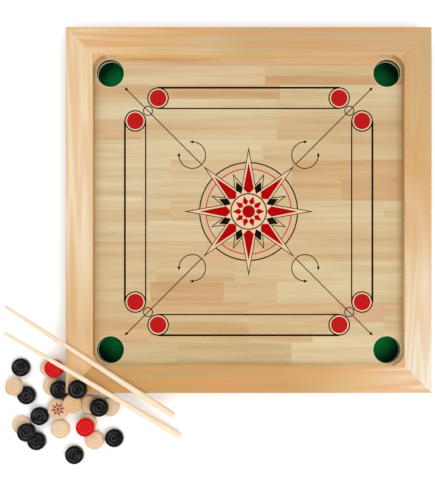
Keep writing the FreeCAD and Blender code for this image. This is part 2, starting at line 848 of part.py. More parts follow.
# Cue 1 lies flat on the frame; cue 2 has its butt on the table and leans on the front rail.
CUE_1_MIDDLE = FreeCAD.Vector(-220.0, -209.2, 0)
CUE_1_HEADING = FreeCAD.Vector(-223, 144, 0)
CUE_2_MIDDLE = FreeCAD.Vector(-210, -244.0, 0)
CUE_2_HEADING = FreeCAD.Vector(-237, 156.5, 0)
CUE_LEAN_DEGREES = 14.3
CUE_LEAN_DROP = 0.82


def leaning_placement():
    """The leaning man has its far rim on the table and its underside on the other man's rim."""
    for label, x, y, height in BLACK_MEN:
        if label == LEANED_ON:
            support = FreeCAD.Vector(x, y, height)
    hinge = FreeCAD.Vector(0, 0, 1).cross(LEAN_TOWARDS)
    foot = support + LEAN_TOWARDS * LEAN_DISTANCE + FreeCAD.Vector(0, 0, LEAN_HEIGHT)
    return FreeCAD.Placement(foot, FreeCAD.Rotation(hinge, LEAN_DEGREES))


def cue_placement(butt, tip):
    """A cue with its butt centre at one point, pointing at another."""
    run = tip - butt
    return FreeCAD.Placement(butt, FreeCAD.Rotation(FreeCAD.Vector(0, 0, 1), run))


def cue_placements():
    """Cue 1 lies across the front left corner; cue 2 leans on the front rail's top edge."""
    heading = FreeCAD.Vector(CUE_1_HEADING).normalize()
    half = read("cue_length") / 2
    rest = read("frame_height") + CUE_GAP
    flat_butt = CUE_1_MIDDLE - heading * half + FreeCAD.Vector(0, 0, rest + read("cue_butt_radius"))
    flat_tip = CUE_1_MIDDLE + heading * half + FreeCAD.Vector(0, 0, rest + read("cue_tip_radius"))
    lean = FreeCAD.Vector(CUE_2_HEADING).normalize()
    rise = math.radians(CUE_LEAN_DEGREES)
    run = lean * math.cos(rise) + FreeCAD.Vector(0, 0, math.sin(rise))
    butt_height = read("cue_butt_radius") * math.cos(rise) - CUE_LEAN_DROP
    leaning_butt = CUE_2_MIDDLE - lean * (half * math.cos(rise)) + FreeCAD.Vector(0, 0, butt_height)
    return (cue_placement(flat_butt, flat_tip),
            cue_placement(leaning_butt, leaning_butt + run * read("cue_length")))


sub_parts = []
for side, degrees in (("front", 0), ("right", 90), ("back", 180), ("left", 270)):
    sub_parts.append(make_rail("frame_rail_" + side, degrees))
sub_parts.append(make_splines())
sub_parts.append(make_panel())
for name, degrees in (("back_right", 0), ("back_left", 90), ("front_left", 180), ("front_right", 270)):
    sub_parts.append(make_corner_block("corner_block_" + name, degrees))
    sub_parts.append(make_pocket_block("pocket_block_" + name, degrees))
for (sign_x, sign_y), name in zip(CORNER_SIGNS, CORNER_NAMES):
    sub_parts.append(make_pocket_lining("pocket_lining_" + name, sign_x, sign_y))
sub_parts.append(make_batten())
block_screws, batten_screws = screw_positions()
sub_parts.append(make_screws("pocket_block_screws", block_screws))
sub_parts.append(make_screws("batten_screws", batten_screws))
sub_parts.extend(make_markings())

MAN_RINGS = ("man_radius*0.2", "man_radius*0.5", "man_radius*0.8")
STRIKER_RINGS = ("striker_radius*0.8",)
for label, x, y, height in BLACK_MEN + NATURAL_MEN + RED_MEN:
    sub_parts.append(make_disc(label, "man_radius", "man_height", MAN_RINGS, standing(x, y, height)))
sub_parts.append(make_disc("natural_man_01", "man_radius", "man_height", MAN_RINGS,
                           leaning_placement()))
sub_parts.append(make_disc("striker", "striker_radius", "striker_height", STRIKER_RINGS,
                           standing(*STRIKER_POSITION)))
cue_one, cue_two = cue_placements()
sub_parts.append(make_cue("cue_1", cue_one))
sub_parts.append(make_cue("cue_2", cue_two))

doc.recompute()

for item in doc.Objects:
    for state in item.State:
        if state in ("Invalid", "Error"):
            raise RuntimeError("%s is %s" % (item.Label, state))
for item in sub_parts:
    if item.Shape.isNull() or not item.Shape.isValid():
        raise RuntimeError("%s has no valid shape" % item.Label)

os.makedirs("parts", exist_ok=True)
for item in sub_parts:
    item.Shape.exportStep("parts/%s.step" % item.Label)
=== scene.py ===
import math

import bmesh
import bpy
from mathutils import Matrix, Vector


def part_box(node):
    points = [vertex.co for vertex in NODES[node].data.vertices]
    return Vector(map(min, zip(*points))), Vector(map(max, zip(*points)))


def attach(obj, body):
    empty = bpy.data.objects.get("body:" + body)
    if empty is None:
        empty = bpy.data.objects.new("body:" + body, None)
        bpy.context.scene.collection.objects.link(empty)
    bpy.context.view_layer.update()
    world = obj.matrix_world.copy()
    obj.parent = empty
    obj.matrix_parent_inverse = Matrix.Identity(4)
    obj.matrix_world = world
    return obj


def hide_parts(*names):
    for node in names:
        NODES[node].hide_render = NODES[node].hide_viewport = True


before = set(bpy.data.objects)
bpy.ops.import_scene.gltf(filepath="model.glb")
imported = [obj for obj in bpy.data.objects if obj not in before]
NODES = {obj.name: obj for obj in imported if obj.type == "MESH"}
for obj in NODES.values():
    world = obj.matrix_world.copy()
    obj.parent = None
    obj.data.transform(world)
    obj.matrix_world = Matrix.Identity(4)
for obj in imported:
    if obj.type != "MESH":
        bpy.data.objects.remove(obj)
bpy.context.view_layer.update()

MM = 0.001

# ---------------------------------------------------------------- places on the board, in metres

BOARD_HALF = 0.254
WELL_HALF = 0.216
PANEL_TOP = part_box("playing_panel")[1][2]
POCKET_CENTRE = 0.1945
POCKET_RADIUS = 0.019

# The printed star: how far its points reach, and the ring between its two circles.
STAR_REACH = 0.1
BAND_MIDDLE = 0.0644
BAND_HALF_WIDTH = 0.0046

# A turned man, and its grooves as shares of its radius.
MAN_RADIUS = 0.013
GROOVES = (0.2, 0.5, 0.8)
GROOVE_HALF_WIDTH = 0.0007

# Each corner's signs along X and Y.
CORNERS = {"front_left": (-1, -1), "front_right": (1, -1), "back_right": (1, 1), "back_left": (-1, 1)}

# ---------------------------------------------------------------- colours


def srgb(red, green, blue):
    """A linear colour from 0 to 255 screen values."""
    linear = []
    for value in (red, green, blue):
        share = value / 255
        linear.append(share / 12.92 if share <= 0.04045 else ((share + 0.055) / 1.055) ** 2.4)
    return (*linear, 1.0)


# A flat face under the studio light comes out this much brighter than its own colour.
LIGHT_GAIN = 1.28


def seen(red, green, blue):
    """The colour a surface needs in order to be seen, under the studio light, as 0 to 255 screen values."""
    return tuple(part / LIGHT_GAIN for part in srgb(red, green, blue)[:3]) + (1.0,)


# ---------------------------------------------------------------- shader graphs


class Graph:
    """A material's node tree, with short ways to add what the woods and inks share."""

    def __init__(self, name):
        self.material = bpy.data.materials.new(name)
        self.material.use_nodes = True
        self.tree = self.material.node_tree
        self.tree.nodes.clear()
        self.shader = self.tree.nodes.new("ShaderNodeBsdfPrincipled")
        output = self.tree.nodes.new("ShaderNodeOutputMaterial")
        self.join(self.shader.outputs["BSDF"], output.inputs["Surface"])
        self.place = self.tree.nodes.new("ShaderNodeTexCoord").outputs["Object"]

    def join(self, source, target):
        self.tree.links.new(source, target)

    def feed(self, target, value):
        """A socket takes either another node's output or a plain number or colour."""
        if isinstance(value, bpy.types.NodeSocket):
            self.join(value, target)
        else:
            target.default_value = value

    def math(self, operation, first, second=0.0, clamp=False):
        node = self.tree.nodes.new("ShaderNodeMath")
        node.operation = operation
        node.use_clamp = clamp
        self.feed(node.inputs[0], first)
        self.feed(node.inputs[1], second)
        return node.outputs[0]

    def add(self, first, second):
        return self.math("ADD", first, second)

    def less(self, first, second):
        return self.math("SUBTRACT", first, second)

    def times(self, first, second):
        return self.math("MULTIPLY", first, second)

    def distance(self, x, y):
        """The length of a plan vector."""
        return self.math("SQRT", self.add(self.times(x, x), self.times(y, y)))

    def split(self, vector):
        node = self.tree.nodes.new("ShaderNodeSeparateXYZ")
        self.join(vector, node.inputs[0])
        return node.outputs[0], node.outputs[1], node.outputs[2]

    def merge(self, x, y, z):
        node = self.tree.nodes.new("ShaderNodeCombineXYZ")
        for socket, value in zip(node.inputs, (x, y, z)):
            self.feed(socket, value)
        return node.outputs[0]

    def mapped(self, vector, scale=(1, 1, 1), location=(0, 0, 0), rotation=(0, 0, 0)):
        node = self.tree.nodes.new("ShaderNodeMapping")
        self.join(vector, node.inputs["Vector"])
        node.inputs["Scale"].default_value = scale
        node.inputs["Location"].default_value = location
        node.inputs["Rotation"].default_value = rotation
        return node.outputs[0]

    def noise(self, vector, scale, detail=3.0, roughness=0.5, distortion=0.0):
        node = self.tree.nodes.new("ShaderNodeTexNoise")
        self.join(vector, node.inputs["Vector"])
        node.inputs["Scale"].default_value = scale
        node.inputs["Detail"].default_value = detail
        node.inputs["Roughness"].default_value = roughness
        node.inputs["Distortion"].default_value = distortion
        return node.outputs["Fac"]

    def streaks(self, vector, along, across, detail=3.0, roughness=0.5, distortion=0.0):
        """Noise drawn out along X, by its cells in a metre along the grain and across it."""
        drawn_out = self.mapped(vector, scale=(along, across, across))
        return self.noise(drawn_out, 1.0, detail, roughness, distortion)

    def ramp(self, factor, *stops):
        """Numbers or colours spread along 0 to 1; the result is a colour output."""
        node = self.tree.nodes.new("ShaderNodeValToRGB")
        elements = node.color_ramp.elements
        while len(elements) < len(stops):
            elements.new(0.5)
        for element, (position, value) in zip(elements, stops):
            element.position = position
            element.color = value if isinstance(value, tuple) else (value, value, value, 1.0)
        self.join(factor, node.inputs["Fac"])
        return node.outputs["Color"]

    def mix(self, factor, first, second, blend="MIX"):
        node = self.tree.nodes.new("ShaderNodeMix")
        node.data_type = "RGBA"
        node.blend_type = blend
        self.feed(node.inputs[0], factor)
        self.feed(node.inputs[6], first)
        self.feed(node.inputs[7], second)
        return node.outputs[2]

    def tint(self, colour, multiplier, factor=1.0):
        return self.mix(factor, colour, multiplier, "MULTIPLY")

    def bump(self, height, strength, distance):
        node = self.tree.nodes.new("ShaderNodeBump")
        node.inputs["Strength"].default_value = strength
        node.inputs["Distance"].default_value = distance
        self.join(height, node.inputs["Height"])
        self.join(node.outputs["Normal"], self.shader.inputs["Normal"])

    def attribute(self, name):
        node = self.tree.nodes.new("ShaderNodeAttribute")
        node.attribute_name = name
        return node

    def finish(self, colour, roughness, coat=0.0, coat_roughness=0.1, specular=0.5):
        self.feed(self.shader.inputs["Base Color"], colour)
        self.feed(self.shader.inputs["Roughness"], roughness)
        self.shader.inputs["Coat Weight"].default_value = coat
        self.shader.inputs["Coat Roughness"].default_value = coat_roughness
        self.shader.inputs["Specular IOR Level"].default_value = specular
        return self.material


def dress(node, material):
    """Give a CAD node its one material."""
    NODES[node].data.materials.clear()
    NODES[node].data.materials.append(material)


# ---------------------------------------------------------------- wood


def wood_coordinates(graph, along, seed, turned=0.0):
    """Coordinates with the grain along their own X, shifted by a seed so no two pieces match."""
    vector = graph.place
    if along == "Y":
        vector = graph.mapped(vector, rotation=(0, 0, math.radians(-90)))
    elif turned:
        vector = graph.mapped(vector, rotation=(0, 0, -turned))
    return graph.mapped(vector, location=(seed * 1.37, seed * 0.61, seed * 0.23))


def grain(graph, vector, across, rings, run=1.7):
    """Long-grained wood, each from 0 to 1: growth rings that wander and close, fine fibres, broad tone."""
    broad = graph.streaks(vector, 1.3, across * 0.3, detail=2.0)
    figure = graph.streaks(vector, run, across, detail=1.5, roughness=0.45, distortion=0.35)
    ring = graph.math("FRACT", graph.times(figure, rings))
    rise = graph.times(ring, graph.less(1.0, graph.math("POWER", ring, 5.0)))
    fibres = graph.streaks(vector, 14, 900, detail=4.0, roughness=0.65)
    return rise, fibres, broad


def plain_wood_material(name, along, seed, pale, dark, rough_low=0.5, rough_high=0.7, coat=0.0, turned=0.0,
                        across=60.0):
    """Plain planed or sanded wood with fine grain."""
    graph = Graph(name)
    vector = wood_coordinates(graph, along, seed, turned)
    rings, fibres, broad = grain(graph, vector, across, 6.0)
    tone = graph.add(graph.times(rings, 0.4), graph.times(broad, 0.6))
    base = graph.mix(graph.ramp(tone, (0.25, 0.0), (0.7, 1.0)), pale, dark)
    base = graph.tint(base, graph.ramp(fibres, (0.3, 0.93), (0.7, 1.04)))
    graph.bump(fibres, 0.15, 0.0004)
    return graph.finish(base, graph.ramp(fibres, (0.2, rough_low), (0.8, rough_high)), coat=coat, specular=0.3)


# ---------------------------------------------------------------- frame rails and blocks

# How far the tones' places wander, as a share of the rail's length.
TONE_WANDER = 0.12
GROWTH_LINE = srgb(200, 138, 74)
PALE_STREAK = (1.0, 1.0, 1.0, 1.0)
DARK_STREAK = (0.94, 0.89, 0.80, 1.0)
# Painted shade: the outer wall is drawn a little darker than the top so the two faces read apart. Walls are
# told from the top by this margin.
OUTER_WALL_SHADE = (0.80, 0.74, 0.66, 1.0)
WALL_MARGIN = 0.0004

# Each rail's grain direction, seed, strength of figure and the painted light and shade multiplied onto its
# inner wall, then its tones as (millimetres along, screen colour).
RAIL_TONES = {
    "frame_rail_left": ("Y", 3, 0.50, (0.72, 0.59, 0.36, 1.0), (
        (-217, (242, 203, 150)), (-162, (226, 189, 144)), (-106, (234, 205, 163)), (-50, (243, 221, 188)),
        (30, (248, 229, 200)), (139, (245, 222, 186)), (230, (237, 211, 168)))),
    "frame_rail_right": ("Y", 7, 0.42, (0.95, 0.80, 0.42, 1.0), (
        (-217, (242, 234, 216)), (-162, (240, 225, 200)), (-106, (238, 222, 194)), (-50, (229, 201, 161)),
        (6, (225, 191, 148)), (61, (216, 179, 127)), (139, (213, 178, 128)), (229, (207, 175, 128)))),
    "frame_rail_back": ("X", 11, 0.72, (1.42, 1.58, 1.66, 1.0), (
        (-230, (238, 209, 164)), (-174, (231, 190, 137)), (-118, (221, 183, 130)), (-62, (217, 187, 143)),
        (0, (209, 175, 128)), (105, (210, 178, 134)), (217, (212, 183, 142)))),
    "frame_rail_front": ("X", 17, 0.80, (1.85, 2.05, 2.0, 1.0), (
        (-118, (196, 160, 103)), (-62, (199, 160, 106)), (49, (199, 160, 105)), (105, (210, 171, 116)),
        (161, (225, 194, 147)), (217, (236, 215, 185)))),
}


def rail_material(name, along, seed, tones, figure, wall_light_and_shade):
    """Lacquered pine. The tones run from one end of the rail to the other, the figure is the lines'
    strength, and the wall colour is painted light and shade on the face that looks into the well: darker on
    the side rails, brighter on the back and front rails."""
    graph = Graph(name)
    vector = wood_coordinates(graph, along, seed)
    x, y, z = graph.split(graph.place)
    along_rail = y if along == "Y" else x
    across_rail = graph.math("ABSOLUTE", x if along == "Y" else y)

    wander = graph.times(graph.less(graph.streaks(vector, 9, 30, detail=1.0), 0.5), TONE_WANDER)
    place = graph.add(graph.add(graph.math("DIVIDE", along_rail, 2 * BOARD_HALF), 0.5), wander)
    stops = [((position * MM / BOARD_HALF + 1) / 2, seen(*tone)) for position, tone in tones]
    base = graph.ramp(place, *stops)

    rings, fibres, broad = grain(graph, vector, 32.0, 8.0, run=1.7)
    streaks = graph.streaks(vector, 2.4, 95, detail=4.0, roughness=0.6)
    blend = graph.add(graph.times(broad, 0.45), graph.times(streaks, 0.55))
    base = graph.tint(base, graph.ramp(blend, (0.38, PALE_STREAK), (0.62, DARK_STREAK)))
    lines = graph.ramp(rings, (0.15, 0.0), (0.60, 0.8), (0.82, 0.0))
    base = graph.mix(graph.times(lines, figure), base, GROWTH_LINE)
    base = graph.tint(base, graph.ramp(fibres, (0.3, 0.94), (0.7, 1.05)))
    # Painted light and shade on the inner wall: darker on the side rails, brighter on the back and front
    # rails.
    inner_wall = graph.math("LESS_THAN", across_rail, WELL_HALF + WALL_MARGIN)
    base = graph.tint(base, wall_light_and_shade, inner_wall)
    # Painted shade on the rail's outer wall.
    shaded_outer_wall = graph.math("GREATER_THAN", across_rail, BOARD_HALF - WALL_MARGIN)
    base = graph.tint(base, OUTER_WALL_SHADE, shaded_outer_wall)
    graph.bump(fibres, 0.10, 0.0004)
    return graph.finish(base, graph.ramp(fibres, (0.2, 0.34), (0.8, 0.50)), coat=0.12, coat_roughness=0.2,
                        specular=0.3)


def pocket_block_material(name, seed):
    """Sawn, unfinished pale wood."""
    graph = Graph(name)
    vector = wood_coordinates(graph, "X", seed)
    rings, fibres, broad = grain(graph, vector, 60.0, 6.0)
    base = graph.mix(graph.ramp(rings, (0.2, 0.0), (0.8, 1.0)), srgb(238, 220, 190), srgb(216, 190, 154))
    base = graph.tint(base, graph.ramp(fibres, (0.3, 0.9), (0.7, 1.05)))
    graph.bump(fibres, 0.3, 0.0005)
    return graph.finish(base, 0.68)


for node, (along, seed, figure, wall_light_and_shade, tones) in RAIL_TONES.items():
    dress(node, rail_material(node, along, seed, tones, figure, wall_light_and_shade))

for index, corner in enumerate(CORNERS):
    block = "corner_block_" + corner
    dress(block, plain_wood_material(
        block, "X", 20 + index, seen(234, 188, 132), seen(212, 160, 102), rough_low=0.32, rough_high=0.48,
        coat=0.2, turned=math.radians(45 + 90 * index)))
    block = "pocket_block_" + corner
    dress(block, pocket_block_material(block, 30 + index))

dress("centre_batten", plain_wood_material(
    "centre_batten", "X", 41, seen(232, 203, 160), seen(205, 165, 115)))
dress("mitre_splines", plain_wood_material(
    "mitre_splines", "X", 43, seen(214, 176, 134), seen(190, 148, 104)))

# ---------------------------------------------------------------- playing panel

STRIP_TONES = {
    "cream": seen(224, 205, 165),
    "pale": seen(221, 199, 157),
    "sand": seen(219, 192, 149),
    "wheat": seen(217, 187, 143),
    "tan": seen(218, 182, 135),
    "honey": seen(214, 175, 127),
    "amber": seen(209, 166, 117),
    "straw": seen(209, 178, 128),
    "olive": seen(208, 184, 138),
    "rose": seen(218, 179, 141),
}
END = 230

# The glued strips from the back rail to the front rail: each strip's near edge, then its lengths,
# as (right-hand end, tone), all in millimetres from the centre of the panel.
STRIPS = (
    (205, ((-40, "tan"), (END, "tan"))),
    (191, ((23, "sand"), (END, "wheat"))),
    (178, ((23, "sand"), (END, "amber"))),
    (158, ((-110, "tan"), (44, "honey"), (END, "pale"))),
    (130, ((-138, "cream"), (40, "pale"), (END, "sand"))),
    (101, ((-150, "tan"), (40, "sand"), (END, "wheat"))),
    (73, ((-170, "cream"), (20, "pale"), (END, "sand"))),
    (44, ((-110, "pale"), (60, "sand"), (END, "honey"))),
    (15, ((-150, "cream"), (60, "pale"), (130, "tan"), (END, "honey"))),
    (-13, ((-110, "sand"), (60, "wheat"), (190, "pale"), (END, "pale"))),
    (-42, ((-140, "pale"), (30, "pale"), (END, "sand"))),
    (-70, ((-60, "wheat"), (40, "tan"), (END, "wheat"))),
    (-99, ((-130, "sand"), (-20, "wheat"), (60, "sand"), (END, "cream"))),
    (-128, ((-138, "sand"), (-35, "honey"), (40, "wheat"), (END, "pale"))),
    (-142, ((-150, "wheat"), (0, "honey"), (125, "tan"), (END, "rose"))),
    (-156, ((0, "wheat"), (90, "wheat"), (190, "rose"), (END, "sand"))),
    (-185, ((-140, "honey"), (0, "straw"), (90, "wheat"), (190, "pale"), (END, "sand"))),
    (-END, ((-100, "olive"), (60, "olive"), (END, "pale"))),
)

# Closer points of the panel's mesh than this, in metres, are one point.
JOIN_WITHIN = 1e-6


def strip_at(x, y):
    """(tone, seed) of the glued length at a plan point, in millimetres."""
    for row, (near_edge, lengths) in enumerate(STRIPS):
        if y > near_edge:
            for column, (right_end, tone) in enumerate(lengths):
                if x < right_end:
                    return STRIP_TONES[tone], row * 7.31 + column * 3.17
    return STRIP_TONES["sand"], 0.0


def cut_along(mesh, point, normal):
    geometry = mesh.verts[:] + mesh.edges[:] + mesh.faces[:]
    bmesh.ops.bisect_plane(mesh, geom=geometry, plane_co=point, plane_no=normal, dist=JOIN_WITHIN)


def make_strip_panel():
    """The CAD panel's own shape, cut along the glue lines so that each length has its own tone."""
    mesh = bmesh.new()
    mesh.from_mesh(NODES["playing_panel"].data)
    bmesh.ops.remove_doubles(mesh, verts=mesh.verts, dist=JOIN_WITHIN)
    for near_edge, lengths in STRIPS[:-1]:
        cut_along(mesh, (0, near_edge * MM, 0), (0, 1, 0))
    ends = {right_end for near_edge, lengths in STRIPS for right_end, tone in lengths}
    for right_end in sorted(ends - {END}):
        cut_along(mesh, (right_end * MM, 0, 0), (1, 0, 0))
    data = bpy.data.meshes.new("playing_panel_strips")
    mesh.to_mesh(data)
    mesh.free()
    data.attributes.new("strip_tone", "FLOAT_COLOR", "CORNER")
    data.attributes.new("strip_seed", "FLOAT", "CORNER")
    tones = data.attributes["strip_tone"]
    seeds = data.attributes["strip_seed"]
    for face in data.polygons:
        tone, seed = strip_at(face.center.x / MM, face.center.y / MM)
        for corner in face.loop_indices:
            tones.data[corner].color = tone
            seeds.data[corner].value = seed
    panel = bpy.data.objects.new("playing_panel_strips", data)
    bpy.context.collection.objects.link(panel)
    return panel


SOFT_STREAKS = (
    (0.3, (0.86, 0.78, 0.66, 1.0)),
    (0.5, (0.97, 0.96, 0.94, 1.0)),
    (0.7, (1.06, 1.09, 1.13, 1.0)),
)
PANEL_LINE = seen(190, 146, 98)
# Painted light: the panel is drawn brighter close to the front and back rails, from this far off them, to
# cancel the shade beside the rails.
RAIL_PAINTED_LIGHT = (1.22, 1.26, 1.30, 1.0)
RAIL_PAINTED_LIGHT_REACH = 0.012
RIM_COLOUR = seen(228, 212, 176)
# Painted shade for the walls of the pocket holes.
HOLE_WALL_SHADE = srgb(52, 34, 20)


def panel_material():
    """Lacquered edge-glued strips; the pocket holes' walls are painted dark as shade and their rims are pale.
    """
    graph = Graph("playing_panel")
    tone = graph.attribute("strip_tone").outputs["Color"]
    seed = graph.attribute("strip_seed").outputs["Fac"]
    x, y, z = graph.split(graph.place)
    vector = graph.merge(graph.add(x, graph.times(seed, 0.37)), graph.add(y, graph.times(seed, 0.11)), z)

    rings, fibres, broad = grain(graph, vector, 42.0, 7.0)
    soft = graph.streaks(vector, 4.0, 75, detail=4.0, roughness=0.6)
    base = graph.tint(tone, graph.ramp(soft, *SOFT_STREAKS))
    # Painted light along the front and back rails.
    from_painted_light = graph.less(graph.math("ABSOLUTE", y), WELL_HALF - RAIL_PAINTED_LIGHT_REACH)
    base = graph.tint(base, RAIL_PAINTED_LIGHT, graph.math("MULTIPLY", from_painted_light, 80.0, clamp=True))
    lines = graph.ramp(rings, (0.3, 0.0), (0.66, 0.6), (0.82, 0.0))
    base = graph.mix(graph.times(lines, 0.22), base, PANEL_LINE)
    base = graph.tint(base, graph.ramp(fibres, (0.3, 0.94), (0.7, 1.04)))

    radius = graph.distance(graph.less(graph.math("ABSOLUTE", x), POCKET_CENTRE),
                            graph.less(graph.math("ABSOLUTE", y), POCKET_CENTRE))
    fade = graph.times(graph.less(radius, POCKET_RADIUS), 420.0)
    halo = graph.math("SUBTRACT", 1.0, fade, clamp=True)
    base = graph.mix(graph.times(halo, 0.7), base, RIM_COLOUR)
    # Painted shade: the walls of the pocket holes are drawn dark.
    inside = graph.math("LESS_THAN", radius, POCKET_RADIUS + 0.00025)
    below = graph.math("LESS_THAN", z, PANEL_TOP - 0.00045)
    base = graph.mix(graph.times(inside, below), base, HOLE_WALL_SHADE)
    graph.bump(fibres, 0.06, 0.0003)
    return graph.finish(base, graph.ramp(fibres, (0.2, 0.28), (0.8, 0.40)), coat=0.15, coat_roughness=0.16,
                        specular=0.3)


panel = make_strip_panel()
panel.data.materials.append(panel_material())
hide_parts("playing_panel")
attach(panel, "board")

# ---------------------------------------------------------------- printed markings

# The star has eight long points; the ring's own colour shows between them.
STAR_POINTS = 8
BETWEEN_POINTS = 0.80


def ink_material(name, colour, second, band=None, outside=None):
    """Screen-printed ink: slightly uneven cover. The band colour is for the ring between the star's circles,
    and the outside colour for what is printed beyond them."""
    graph = Graph(name)
    cover = graph.noise(graph.mapped(graph.place, scale=(60, 700, 60)), 1.0, detail=4.0, roughness=0.6)
    base = graph.mix(graph.ramp(cover, (0.35, 0.0), (0.75, 1.0)), colour, second)
    x, y, z = graph.split(graph.place)
    radius = graph.distance(x, y)
    if outside:
        base = graph.mix(graph.math("GREATER_THAN", radius, STAR_REACH), base, outside)
    if band:
        turn = graph.times(graph.math("ARCTAN2", y, x), STAR_POINTS)
        between_points = graph.math("LESS_THAN", graph.math("COSINE", turn), BETWEEN_POINTS)
        off_middle = graph.math("ABSOLUTE", graph.less(radius, BAND_MIDDLE))
        in_band = graph.math("LESS_THAN", off_middle, BAND_HALF_WIDTH)
        base = graph.mix(graph.times(in_band, between_points), base, band)
    graph.bump(cover, 0.05, 0.0002)
    return graph.finish(base, graph.ramp(cover, (0.3, 0.40), (0.7, 0.52)), specular=0.03)


dress("marking_black", ink_material("marking_black", srgb(9, 6, 3), srgb(24, 16, 8)))
dress("marking_red", ink_material("marking_red", seen(180, 2, 5), seen(168, 1, 4), outside=seen(190, 25, 26)))
dress("marking_cream", ink_material("marking_cream", seen(240, 208, 172), seen(232, 196, 158),
                                    band=seen(219, 182, 143)))

# ---------------------------------------------------------------- pocket linings and screws

# How fast the sine that draws the weave turns, in radians for each metre.
WEAVE_RATE = 7400.0
# Painted light and shade: how brightly each pocket's cloth is drawn, as a share of its common brightness.
POCKET_LIGHT_LEVELS = {"front_left": 0.78, "front_right": 0.95, "back_right": 0.80, "back_left": 1.25}


def cloth_material(name, sign_x, sign_y, shade):
    """Green baize with a short nap, with painted shade darkening it towards the outer corner of the board and
    each pocket's brightness scaled by painted light and shade.
    """
    graph = Graph(name)
    x, y, z = graph.split(graph.place)
    weave = graph.times(graph.math("SINE", graph.times(x, WEAVE_RATE)),
                        graph.math("SINE", graph.times(y, WEAVE_RATE)))
    nap = graph.noise(graph.place, 900.0)
    # Painted shade: the cloth darkens towards the outer corner of the board.
    outward = graph.add(graph.times(graph.less(x, sign_x * POCKET_CENTRE), sign_x),
                        graph.times(graph.less(y, sign_y * POCKET_CENTRE), sign_y))
    outer_shade = graph.math("ADD", 0.5, graph.times(outward, 30.0), clamp=True)
    base = graph.mix(graph.ramp(nap, (0.3, 0.0), (0.7, 1.0)), srgb(4, 98, 44), srgb(8, 113, 54))
    base = graph.mix(outer_shade, base, srgb(0, 30, 10))
    # Painted light and shade for this pocket.
    base = graph.tint(base, (shade, shade, shade, 1.0))
    graph.bump(graph.add(graph.times(weave, 0.35), nap), 0.5, 0.0005)
    return graph.finish(base, 0.9, specular=0.05)


def screw_material():
    """Zinc-plated steel with a light yellow cast and fine turning scratches."""
    graph = Graph("screw_steel")
    scratch = graph.noise(graph.mapped(graph.place, scale=(500, 500, 2500)), 1.0, detail=4.0)
    base = graph.mix(scratch, srgb(190, 184, 168), srgb(222, 214, 190))
    graph.shader.inputs["Metallic"].default_value = 1.0
    graph.bump(scratch, 0.1, 0.0002)
    return graph.finish(base, graph.ramp(scratch, (0.2, 0.28), (0.8, 0.48)))


for corner, (sign_x, sign_y) in CORNERS.items():
    lining = "pocket_lining_" + corner
    dress(lining, cloth_material(lining, sign_x, sign_y, POCKET_LIGHT_LEVELS[corner]))

steel = screw_material()
dress("pocket_block_screws", steel)
dress("batten_screws", steel)

# ---------------------------------------------------------------- men


def from_centre(graph, node):
    """Plan offsets and distance from the middle of a round piece."""
    low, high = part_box(node)
    x, y, z = graph.split(graph.place)
    dx = graph.less(x, (low[0] + high[0]) / 2)
    dy = graph.less(y, (low[1] + high[1]) / 2)
    return dx, dy, graph.distance(dx, dy)


# Where painted highlights lie on the lips beside a man's grooves, by distance from the middle as a share of
# the radius.
LIP_HIGHLIGHTS = ((0.20, 0.0), (0.30, 1.0), (0.40, 0.0), (0.52, 0.0), (0.63, 1.0), (0.74, 0.0))


def turned_face(graph, node, vector, base, groove_shade, lip_highlight):
    """A man's own colour with painted shade in its turned grooves and patchy painted highlights on the lips
    beside them.
    """
    dx, dy, radius = from_centre(graph, node)
    nearest = MAN_RADIUS
    for share in GROOVES:
        gap = graph.math("ABSOLUTE", graph.less(radius, share * MAN_RADIUS))
        nearest = graph.math("MINIMUM", gap, nearest)
    # Painted shade in the grooves.
    groove_shade_mask = graph.ramp(graph.math("DIVIDE", nearest, 4 * GROOVE_HALF_WIDTH), (0.12, 1.0), (0.28, 0.0))
    # Painted highlights on the lips, broken into patchy glints.
    lip_highlight_mask = graph.ramp(graph.math("DIVIDE", radius, MAN_RADIUS), *LIP_HIGHLIGHTS)
    glint_patches = graph.ramp(graph.noise(vector, 110.0, detail=1.0), (0.38, 0.1), (0.62, 1.0))
    base = graph.mix(graph.times(lip_highlight_mask, glint_patches), base, lip_highlight)
    return graph.mix(groove_shade_mask, base, groove_shade)


def man_coordinates(graph, seed):
    return graph.mapped(graph.place, location=(seed * 0.7, seed * 0.3, 0))


def lacquered_man_material(node, seed, tones, roughness, specular):
    """Solid lacquer with fine specks."""
    colour, worn, groove_shade, lip_highlight = tones
    graph = Graph(node)
    vector = man_coordinates(graph, seed)
    specks = graph.noise(vector, 260.0, detail=5.0, roughness=0.65)
    base = graph.mix(graph.ramp(specks, (0.45, 0.0), (0.8, 1.0)), colour, worn)
    base = turned_face(graph, node, vector, base, groove_shade, lip_highlight)
    graph.bump(specks, 0.06, 0.0003)
    rough = graph.ramp(specks, (0.2, roughness - 0.06), (0.8, roughness + 0.08))
    return graph.finish(base, rough, specular=specular)


def natural_man_material(node, seed, tones):
    """Clear lacquer over pale wood."""
    pale, warm, groove_shade, lip_highlight = tones
    graph = Graph(node)
    vector = man_coordinates(graph, seed)
    rings, fibres, broad = grain(graph, vector, 80.0, 6.0)
    base = graph.mix(graph.ramp(broad, (0.3, 0.0), (0.7, 1.0)), pale, warm)
    base = graph.tint(base, graph.ramp(fibres, (0.3, 0.93), (0.7, 1.03)))
    base = turned_face(graph, node, vector, base, groove_shade, lip_highlight)
    graph.bump(fibres, 0.08, 0.0003)
    return graph.finish(base, graph.ramp(fibres, (0.2, 0.33), (0.8, 0.48)), specular=0.3)


